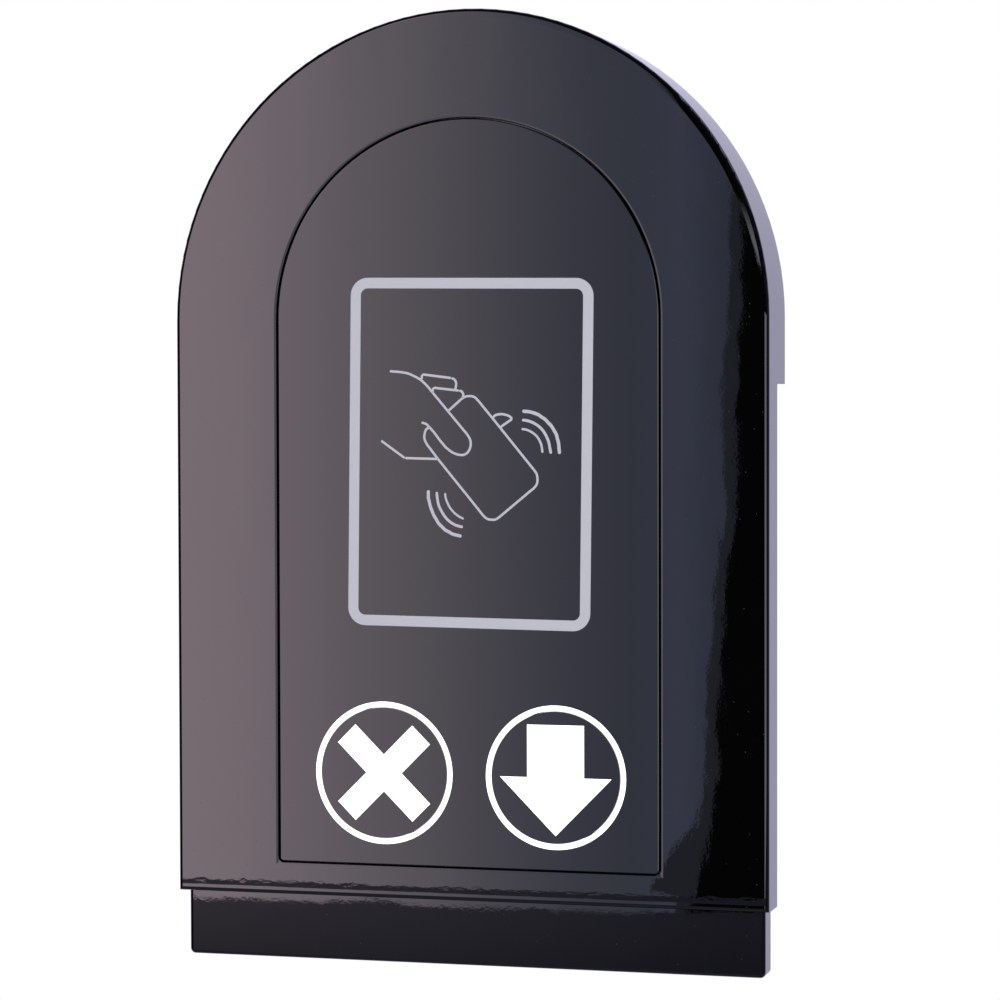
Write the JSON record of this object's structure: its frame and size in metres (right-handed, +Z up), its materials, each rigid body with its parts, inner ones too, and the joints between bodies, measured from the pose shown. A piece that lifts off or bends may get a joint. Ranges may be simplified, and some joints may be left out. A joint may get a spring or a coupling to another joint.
{
  "type": "ticket vending machine",
  "caption": "Wall-mounted contactless ticket machine: arched door with a reader window and lit keys, over a box with a ticket printer.",
  "frame": {"origin": "centre of the wall screws' pattern, on the wall face of the wall plate", "axes": "+X right and +Z up as seen from the front, +Y into the wall"},
  "size_m": [0.225, 0.09, 0.351],
  "materials": {
    "cover_paint": "gloss",
    "carrier_paint": "gloss",
    "window_glass": "polished",
    "gasket_foam": "matte",
    "seal_foam": "matte",
    "ring_light": "satin",
    "key_plastic": "gloss",
    "sign_plastic": "satin",
    "circuit_board": "satin",
    "ferrite": "matte",
    "shield_can": "satin",
    "switch_plastic": "satin",
    "lamp_plastic": "gloss",
    "spring_steel": "bright",
    "zinc_fastener": "zinc plated",
    "post_brass": "nickel brass",
    "hinge_steel": "brushed",
    "bracket_steel": "zinc plated",
    "lock_chrome": "polished",
    "box_paint": "satin powder coat",
    "plate_steel": "zinc plated",
    "grommet_rubber": "matte",
    "chute_plastic": "satin",
    "printer_steel": "zinc plated",
    "head_ceramic": "satin",
    "cutter_steel": "ground",
    "bush_bronze": "sintered",
    "platen_rubber": "satin",
    "gear_plastic": "satin",
    "motor_steel": "satin",
    "paper": "matte",
    "core_card": "matte",
    "spindle_plastic": "satin",
    "sink_aluminium": "extruded",
    "terminal_plastic": "satin",
    "supply_steel": "galvanised",
    "speaker_plastic": "matte"
  },
  "bodies": {
    "front_door": {"front_cover": "cover_paint", "cover_nuts": "zinc_fastener", "touch_window": "window_glass", "window_gasket": "gasket_foam", "inner_carrier": "carrier_paint", "door_seal": "seal_foam", "antenna_board": "circuit_board", "ferrite_sheet": "ferrite", "reader_module": "shield_can", "key_board": "circuit_board", "key_posts": "post_brass", "board_screws": "zinc_fastener", "key_switches": "switch_plastic", "key_leds": "lamp_plastic", "hinge_door_leaf": "hinge_steel", "hinge_door_screws": "zinc_fastener", "lock_bracket": "bracket_steel", "lock_barrel": "lock_chrome", "lock_nut": "lock_chrome", "cancel_ring": "ring_light", "issue_ring": "ring_light", "cancel_spring": "spring_steel", "issue_spring": "spring_steel"},
    "cancel_key": {"cancel_cap": "key_plastic", "cancel_symbol": "sign_plastic"},
    "issue_key": {"issue_cap": "key_plastic", "issue_symbol": "sign_plastic"},
    "lock_core": {"lock_plug": "lock_chrome", "lock_cam": "bracket_steel", "lock_cam_screw": "zinc_fastener"},
    "box": {"wall_box": "box_paint", "wall_plate": "plate_steel", "box_screws": "zinc_fastener", "hinge_box_leaf": "hinge_steel", "hinge_box_screws": "zinc_fastener", "hinge_pin": "hinge_steel", "lock_catch": "bracket_steel", "cable_grommet": "grommet_rubber", "ticket_chute": "chute_plastic", "printer_frame": "printer_steel", "printer_screws": "zinc_fastener", "print_head": "head_ceramic", "head_bracket": "printer_steel", "paper_cutter": "cutter_steel", "platen_bushes": "bush_bronze", "stepper_motor": "motor_steel", "roll_brackets": "bracket_steel", "roll_spindle": "spindle_plastic", "paper_web": "paper", "control_board": "circuit_board", "board_standoffs": "post_brass", "heat_sink": "sink_aluminium", "terminal_block": "terminal_plastic", "power_supply": "supply_steel", "speaker": "speaker_plastic"},
    "platen": {"platen_roller": "platen_rubber", "platen_gear": "gear_plastic"},
    "pinion": {"motor_pinion": "gear_plastic"},
    "roll": {"paper_roll": "paper", "roll_core": "core_card"}
  },
  "joints": [
    {"name": "door_swing", "type": "hinge", "parent": "box", "child": "front_door", "pos_m": [-0.1045, -0.063, -0.0375], "axis": [0, 0, -1], "range_deg": [0, 95]},
    {"name": "cancel_press", "type": "slide", "parent": "front_door", "child": "cancel_key", "axis": [0, 1, 0], "range_m": [0, 0.001], "stiffness_N_per_m": 1500, "springref_m": -0.0008, "deforming": ["cancel_spring"]},
    {"name": "issue_press", "type": "slide", "parent": "front_door", "child": "issue_key", "axis": [0, 1, 0], "range_m": [0, 0.001], "stiffness_N_per_m": 1500, "springref_m": -0.0008, "deforming": ["issue_spring"]},
    {"name": "lock_turn", "type": "hinge", "parent": "front_door", "child": "lock_core", "pos_m": [0.076, -0.069, -0.144], "axis": [0, 0, -1], "range_deg": [0, 90]},
    {"name": "roll_spin", "type": "hinge", "parent": "box", "child": "roll", "pos_m": [0, -0.02658, -0.07], "axis": [1, 0, 0], "continuous": true},
    {"name": "platen_spin", "type": "hinge", "parent": "box", "child": "platen", "pos_m": [0, -0.04158, -0.115], "axis": [1, 0, 0], "continuous": true},
    {"name": "pinion_spin", "type": "hinge", "parent": "box", "child": "pinion", "pos_m": [0.038, -0.02237, -0.115], "axis": [1, 0, 0], "continuous": true}
  ],
  "couplings": [
    {"joint": "platen_spin", "follows": "roll_spin", "ratio": 3.5},
    {"joint": "pinion_spin", "follows": "roll_spin", "ratio": -5.8333}
  ]
}
